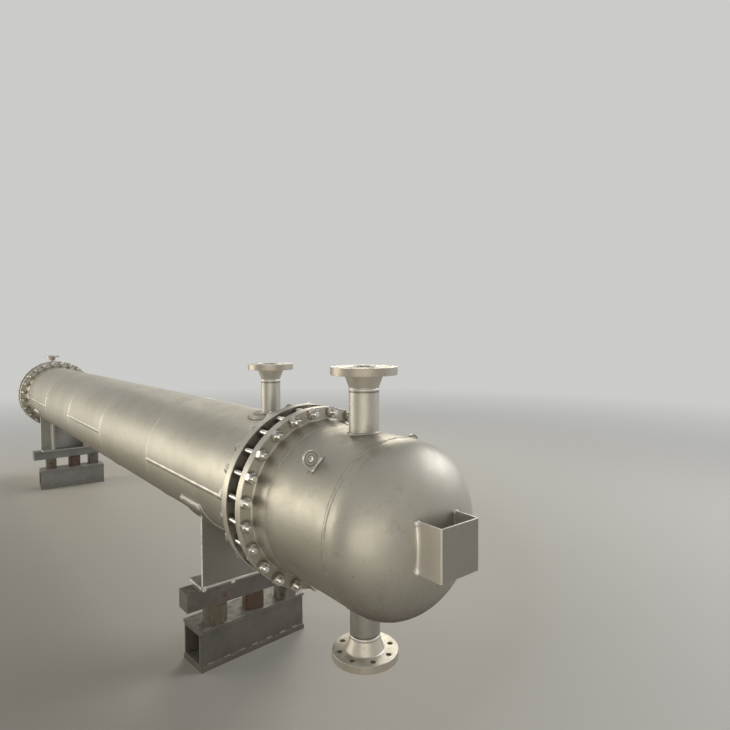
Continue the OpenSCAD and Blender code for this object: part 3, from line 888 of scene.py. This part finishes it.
def finishPiece(piece, angle=60):
    selectOnly(piece)
    bpy.ops.object.shade_smooth_by_angle(angle=math.radians(angle))
    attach(piece, "root")


# Studs and nuts round the two body joints

def makeNut(look):
    corner = look["nutFlats"] / 2 / math.cos(math.pi / 6)
    deselectAll()
    bpy.ops.mesh.primitive_cylinder_add(vertices=6, radius=corner, depth=look["nutHeight"])
    nut = named("nutPattern", nutSteel)
    bpy.ops.mesh.primitive_cylinder_add(vertices=30, radius=corner, depth=look["nutHeight"])
    turning = bpy.context.object
    bpy.ops.object.mode_set(mode="EDIT")
    bpy.ops.mesh.select_mode(type="FACE")
    bpy.ops.mesh.select_all(action="DESELECT")
    bpy.ops.object.mode_set(mode="OBJECT")
    for face in turning.data.polygons:
        face.select = abs(face.normal.z) > 0.9
    bpy.ops.object.mode_set(mode="EDIT")
    bpy.ops.mesh.bevel(offset=look["nutChamfer"], affect="EDGES")
    bpy.ops.object.mode_set(mode="OBJECT")
    applyModifier(nut, "BOOLEAN", operation="INTERSECT", object=turning)
    bpy.data.objects.remove(turning)
    return nut


def makeStud(look, length):
    deselectAll()
    bpy.ops.mesh.primitive_cylinder_add(vertices=20, radius=look["studRadius"], depth=length)
    stud = named("studPattern", studSteel)
    applyModifier(stud, "BEVEL", width=look["endBevel"], segments=1, limit_method="ANGLE")
    return stud


def nutSpin(angle):
    # at the two sides the flats face outward, so that no nut stands beyond the rims
    if abs(math.sin(angle)) > 0.95:
        return Matrix.Rotation(-angle if angle < math.pi else math.pi - angle, 4, "Z")
    return Matrix.Rotation(chance.uniform(0, math.pi / 3), 4, "Z")


def makeJoint(side, gapLow, gapHigh, look=joint):
    gripLow = gapLow - look["flangeThickness"]
    gripHigh = gapHigh + look["flangeThickness"]
    length = gripHigh - gripLow + 2 * (look["nutHeight"] + look["studEnd"])
    circle = look["circleRadius"]
    nut = makeNut(look)
    stud = makeStud(look, length)
    lay = Matrix.Rotation(math.pi / 2, 4, "Y")
    nuts = []
    studs = []
    for i in range(look["count"]):
        angle = (i + 0.5) * 2 * math.pi / look["count"]
        at = Vector((0, circle * math.sin(angle), axisZ + circle * math.cos(angle)))
        along = (gripLow + gripHigh) / 2 + chance.uniform(-look["slip"], look["slip"])
        studs.append(copied(stud, Matrix.Translation(at + Vector((along, 0, 0))) @ lay))
        for x in (gripLow - look["nutHeight"] / 2, gripHigh + look["nutHeight"] / 2):
            nuts.append(copied(nut, Matrix.Translation(at + Vector((x, 0, 0))) @ lay @ nutSpin(angle)))
    bpy.data.objects.remove(nut)
    bpy.data.objects.remove(stud)
    finishPiece(joined(nuts, side + "_nuts"), 30)
    finishPiece(joined(studs, side + "_studs"), 30)


makeJoint("front", *frontGap)
makeJoint("rear", *rearGap)
print("studs and nuts made")


# Weld beads: flat caps on the butt seams, fillets in the corners

bead = {
    "capWidth": 0.016,
    "capHeight": 0.0021,
    "capLumps": 0.0005,     # how far a cap rises, swings and sways
    "capSwing": 0.0004,
    "capSway": 0.0006,
    "longWidth": 0.0100,    # radius of the bead on a lengthwise seam
    "longRise": 0.0036,
    "fillet": 0.0062,
    "smallFillet": 0.0042,
    "heavyFillet": 0.0105,
    "lugFillet": 0.0054,
    "bracketFillet": 0.0088,
    "neckRing": 0.0022,
    "neckStretch": 2.2,
    "lift": 0.001,          # from the surface to the middle of a fillet
    "padRise": 0.0093,      # from the shell to the middle of a fillet on its pad
    "stepLength": 0.0045,   # one ripple of a bead
    "ripple": 0.10,
    "wander": 0.10,
    "endSwell": 0.55,       # how much thicker a hand-laid bead starts and stops
}


def seamRing(x, radius, material, look=bead):
    deselectAll()
    around = int(2 * math.pi * radius / look["stepLength"])
    bpy.ops.mesh.primitive_torus_add(
        major_segments=around, minor_segments=8, major_radius=radius, minor_radius=look["capHeight"],
        location=(x, 0, axisZ), rotation=(0, math.pi / 2, 0))
    ring = named("seamRing", material)
    ring.scale.z = look["capWidth"] / 2 / look["capHeight"]  # its own Z lies along the exchanger
    bpy.ops.object.transform_apply(location=True, rotation=True, scale=True)
    for vertex in ring.data.vertices:
        angle = math.atan2(vertex.co.y, vertex.co.z - axisZ)
        lift = look["capLumps"] * math.sin(angle * around / 2.6) + look["capSwing"] * math.sin(angle * 37 + x)
        out = Vector((0, math.sin(angle), math.cos(angle)))
        vertex.co += out * lift
        vertex.co.x += look["capSway"] * math.sin(angle * 53 + 3 * x)
    return ring


def layBead(routes, size, name, material=beadPaint, look=bead):
    # each route is (points, closed), and each point one ripple of the bead
    curve = bpy.data.curves.new(name, "CURVE")
    curve.dimensions = "3D"
    curve.bevel_depth = size
    curve.bevel_resolution = 1
    curve.use_fill_caps = True
    for points, closed in routes:
        spline = curve.splines.new("POLY")
        spline.points.add(len(points) - 1)
        spline.use_cyclic_u = closed
        drift = chance.uniform(0, 6)
        for i, point in enumerate(points):
            spline.points[i].co = (*point, 1)
            ripple = look["ripple"] * (1 if i % 2 else -1) / 2
            fromEnd = min(i, len(points) - 1 - i)
            swell = 0 if closed else look["endSwell"] * math.exp(-(((fromEnd - 1.5) / 1.6) ** 2))
            spline.points[i].radius = 1 + ripple + swell + look["wander"] * math.sin(i * 0.21 + drift)
    weld = bpy.data.objects.new(name, curve)
    bpy.context.scene.collection.objects.link(weld)
    selectOnly(weld)
    bpy.ops.object.convert(target="MESH")
    return named(name, material)


def steps(length, look=bead):
    return max(4, int(length / look["stepLength"]))


def straight(start, end):
    start, end = Vector(start), Vector(end)
    count = steps((end - start).length)
    return [start.lerp(end, i / count) for i in range(count + 1)], False


def footRoute(x, pipeRadius, runRadius, up):
    # where a round branch stands on the round run
    count = steps(2 * math.pi * pipeRadius)
    points = []
    for i in range(count):
        angle = 2 * math.pi * i / count
        y = pipeRadius * math.sin(angle)
        z = axisZ + up * math.sqrt(runRadius ** 2 - y ** 2)
        points.append(Vector((x + pipeRadius * math.cos(angle), y, z)))
    return points, True


def girthRoute(x, radius, fromAngle, toAngle):
    # angles in degrees from straight down
    count = steps(radius * math.radians(abs(toAngle - fromAngle)))
    points = []
    for i in range(count + 1):
        angle = math.radians(fromAngle + (toAngle - fromAngle) * i / count)
        points.append(Vector((x, radius * math.sin(angle), axisZ - radius * math.cos(angle))))
    return points, False


def makeGirthSeams(name, seams, radius, material):
    finishPiece(joined([seamRing(x, radius, material) for x in seams], name), 35)


def makeLongSeams(look=bead):
    routes = []
    sunk = look["longWidth"] - look["longRise"]
    for node, (rise, side) in longSeams.items():
        low, high = ends(node)
        y = side * math.sqrt((shellRadius - sunk) ** 2 - rise ** 2)
        routes.append(straight((low, y, axisZ + rise), (high, y, axisZ + rise)))
    finishPiece(layBead(routes, look["longWidth"], "shell_long_seams"))


def makeNozzleWelds(look=bead):
    feet = []
    buttRings = []
    for name, (run, up, *rest) in nozzles.items():
        low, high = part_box(name + "_neck")
        pipe = (high.x - low.x) / 2
        x = (high.x + low.x) / 2
        runRadius = channelRadius if run == "channel" else shellRadius + look["padRise"]
        feet.append(footRoute(x, pipe + look["lift"], runRadius, up))
        if run == "pad":
            feet.append(footRoute(x, halfLength(name + "_pad"), shellRadius + look["lift"], up))
        deselectAll()
        bpy.ops.mesh.primitive_torus_add(
            major_segments=steps(2 * math.pi * pipe), minor_segments=8, major_radius=pipe,
            minor_radius=look["neckRing"], location=(x, 0, high.z if up > 0 else low.z))
        ring = named("buttRing", beadPaint)
        ring.scale.z = look["neckStretch"]
        buttRings.append(ring)
    finishPiece(layBead(feet, look["fillet"], "nozzle_foot_welds", seamPaint))
    finishPiece(joined(buttRings, "nozzle_neck_welds"))


def makeLugWelds(look=bead):
    routes = []
    radius = channelRadius + look["lift"]
    spread = math.degrees(lug["width"] / 2 / channelRadius)
    for side in (-1, 1):
        for edge in (-1, 1):
            mid = side * (180 - lug["angle"])
            x = middle("channel_lugs").x + edge * (lug["thickness"] / 2 + look["lift"])
            routes.append(girthRoute(x, radius, mid - spread, mid + spread))
    finishPiece(layBead(routes, look["lugFillet"], "lug_welds"))


def headX(y, z):
    # outer surface of the channel head at a point of its face
    return channelDish[0] + headShape["depth"] * math.sqrt(1 - (y * y + z * z) / channelRadius ** 2)


def makeBracketWelds(look=bead):
    low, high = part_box("name_bracket")
    outside = 2 * look["lift"]
    count = steps(high.z - low.z)
    routes = []
    for y in (low.y - outside, high.y + outside):
        points = []
        for i in range(count + 1):
            z = low.z - axisZ + (high.z - low.z) * i / count
            points.append(Vector((headX(y, z) + outside, y, axisZ + z)))
        routes.append((points, False))
    finishPiece(layBead(routes, look["bracketFillet"], "bracket_welds"))


rivet = {"radius": 0.0045, "rise": 0.0022, "fromEdge": 0.022, "fromTop": 0.014}


def makeRivet(look=rivet):
    # small round head on the bracket's face, near its upper corner
    low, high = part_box("name_bracket")
    deselectAll()
    bpy.ops.mesh.primitive_uv_sphere_add(segments=20, ring_count=10, radius=look["radius"])
    head = named("bracket_rivet", nutSteel)
    head.scale = (look["rise"] / look["radius"], 1, 1)
    head.location = (high.x - look["rise"], low.y + look["fromEdge"], high.z - look["fromTop"])
    bpy.ops.object.transform_apply(location=True, rotation=True, scale=True)
    finishPiece(head)


saddle = {
    "plate": 0.016, "ribs": 0.146, "lift": 0.002, "footBead": 0.0066,
    "topTurn": 1.0,      # degrees from the edge of the wear plate to its top weld
    "tackHalf": 0.010, "tackInset": 0.004, "tackMiddle": 0.09,
}


def makeSaddleWelds(side, look=saddle):
    def lay(routes, size, name, material=beadPaint):
        finishPiece(layBead(routes, size, side + name, material))

    wearLow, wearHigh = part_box(side + "_wear_plate")
    webLow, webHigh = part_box(side + "_saddle")
    wearRadius = axisZ - wearLow.z
    wearAngle = math.degrees(math.asin(wearHigh.y / wearRadius))
    webAngle = math.degrees(math.asin(webHigh.y / wearRadius))
    shellReach = shellRadius + look["lift"]
    wearEnds = [girthRoute(x, shellReach, -wearAngle, wearAngle) for x in (wearLow.x, wearHigh.x)]
    lay(wearEnds, bead["smallFillet"], "_wear_end_welds")

    topAngle = math.radians(wearAngle + look["topTurn"])
    topZ = axisZ - shellReach * math.cos(topAngle)
    topEdges = []
    for sign in (-1, 1):
        y = sign * shellReach * math.sin(topAngle)
        topEdges.append(straight((wearLow.x, y, topZ), (wearHigh.x, y, topZ)))
    lay(topEdges, bead["heavyFillet"], "_wear_top_welds", litTopWeldPaint)

    outer = webHigh.x if side == "front" else webLow.x
    inner = webLow.x if side == "front" else webHigh.x
    inward = -1 if side == "front" else 1
    footWeld = straight((outer, webLow.y, webLow.z), (outer, webHigh.y, webLow.z))
    lay([footWeld], look["footBead"], "_foot_weld")

    behind = outer + inward * look["plate"]
    routes = [straight((behind, webLow.y, webLow.z), (behind, webHigh.y, webLow.z))]
    for x in (outer, behind):
        routes.append(girthRoute(x, wearRadius, -webAngle, webAngle))
    for y in (-look["ribs"], look["ribs"]):
        for face in (y - look["plate"] / 2, y + look["plate"] / 2):
            top = axisZ - math.sqrt(wearRadius ** 2 - face ** 2)
            routes.append(straight((behind, face, webLow.z), (behind, face, top)))
            routes.append(straight((behind, face, webLow.z), (inner, face, webLow.z)))
    lay(routes, bead["smallFillet"], "_saddle_welds", seamPaint)

    baseLow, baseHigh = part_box(side + "_base_plate")
    half = look["tackHalf"]
    tacks = []
    for y in (baseLow.y + half, -look["tackMiddle"], look["tackMiddle"], baseHigh.y - half):
        for x in (baseLow.x + look["tackInset"], baseHigh.x - look["tackInset"]):
            if abs(x - inner) > 0.02:
                tacks.append(straight((x, y - half, baseLow.z), (x, y + half, baseLow.z)))
    lay(tacks, bead["fillet"], "_base_tacks")


floorBeam = {
    "turn": 4, "length": 0.615, "boxWidth": 0.165, "topPlate": 0.013, "bottomPlate": 0.025,
    "stitch": 0.034, "every": 0.085, "scatter": 0.008,
}


def makeBeamStitches(side, look=floorBeam):
    # short welds hold the box to the plates above and below it
    centre = middle(side + "_floor_beam")
    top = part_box(side + "_floor_beam")[1].z - look["topPlate"]
    turn = math.radians(look["turn"] if side == "front" else -look["turn"])
    lengthwise = Vector((-math.sin(turn), math.cos(turn), 0))
    sideways = Vector((math.cos(turn), math.sin(turn), 0))
    half = lengthwise * look["stitch"] / 2
    routes = []
    count = int(look["length"] / look["every"])
    for z in (look["bottomPlate"], top):
        for sign in (-1, 1):
            edge = Vector((centre.x, centre.y, z)) + sideways * sign * look["boxWidth"] / 2
            for i in range(count):
                slip = chance.uniform(-look["scatter"], look["scatter"])
                at = edge + lengthwise * ((i + 0.5 - count / 2) * look["every"] + slip)
                routes.append(straight(at - half, at + half))
    stitches = layBead(routes, bead["smallFillet"], side + "_beam_stitches", stitchPaint)
    finishPiece(stitches)


makeGirthSeams("shell_girth_seams", shellSeams, shellRadius, litShellSeamPaint)
makeGirthSeams("channel_girth_seams", channelSeams, channelRadius, seamPaint)
makeLongSeams()
makeNozzleWelds()
makeLugWelds()
makeBracketWelds()
makeRivet()
for supportSide in ("front", "rear"):
    makeSaddleWelds(supportSide)
    makeBeamStitches(supportSide)
print("weld beads made")


# Stage

def seenRays(tree):
    # the background is what the camera sees, and what shines in metal and glass
    rays = addNode(tree, "ShaderNodeLightPath").outputs
    seen = larger(tree, rays["Is Camera Ray"], rays["Is Transmission Ray"])
    return larger(tree, seen, rays["Is Glossy Ray"])


def blended(tree, share, first, second, target):
    blend = addNode(tree, "ShaderNodeMixShader")
    feed(tree, blend.inputs[0], share)
    feed(tree, blend.inputs[1], first.outputs[0])
    feed(tree, blend.inputs[2], second.outputs[0])
    feed(tree, tree.nodes[target].inputs["Surface"], blend.outputs[0])


def makeFloor(look):
    deselectAll()
    bpy.ops.mesh.primitive_plane_add(size=look["floorSize"], location=(0, 0, 0))
    material, tree, shader, place = startMaterial("floorPaint", 0.0, 0.6)
    reach = vectorCalc(tree, "LENGTH", place)["Value"]
    away = ranged(tree, reach, look["fadeStart"], look["fadeEnd"])
    away = calc(tree, "POWER", away, look["fadePower"])
    mottle = blotches(tree, place, ((1.2, 6), (0.3, 0.7, 0, look["mottleShare"])))
    feed(tree, shader.inputs["Base Color"], mixed(tree, mottle, look["floorColour"], look["mottleColour"]))
    glow = addNode(tree, "ShaderNodeEmission")
    feed(tree, glow.inputs["Color"], look["backColour"])
    blended(tree, times(tree, away, seenRays(tree)), shader, glow, "Material Output")
    named("floor", material)


def makeWorld(look):
    world = bpy.data.worlds.new("studioWorld")
    bpy.context.scene.world = world
    world.use_nodes = True
    tree = world.node_tree
    back = tree.nodes["Background"]
    feed(tree, back.inputs["Color"], look["backColour"])
    back.inputs["Strength"].default_value = 1.0
    sky = addNode(tree, "ShaderNodeBackground")
    height = axes(tree, addNode(tree, "ShaderNodeTexCoord").outputs["Generated"])[2]
    height = ranged(tree, height, -0.2, 0.7)
    feed(tree, sky.inputs["Color"], mixed(tree, height, look["skyLow"], look["skyTop"]))
    sky.inputs["Strength"].default_value = look["skyStrength"]
    blended(tree, seenRays(tree), sky, back, "World Output")


makeFloor(studio)
makeWorld(studio)
for lamp in studio["lamps"]:
    makeLamp(*lamp)
makeCamera(cameraSet)
bpy.context.scene.view_settings.view_transform = "Standard"
print("stage made")
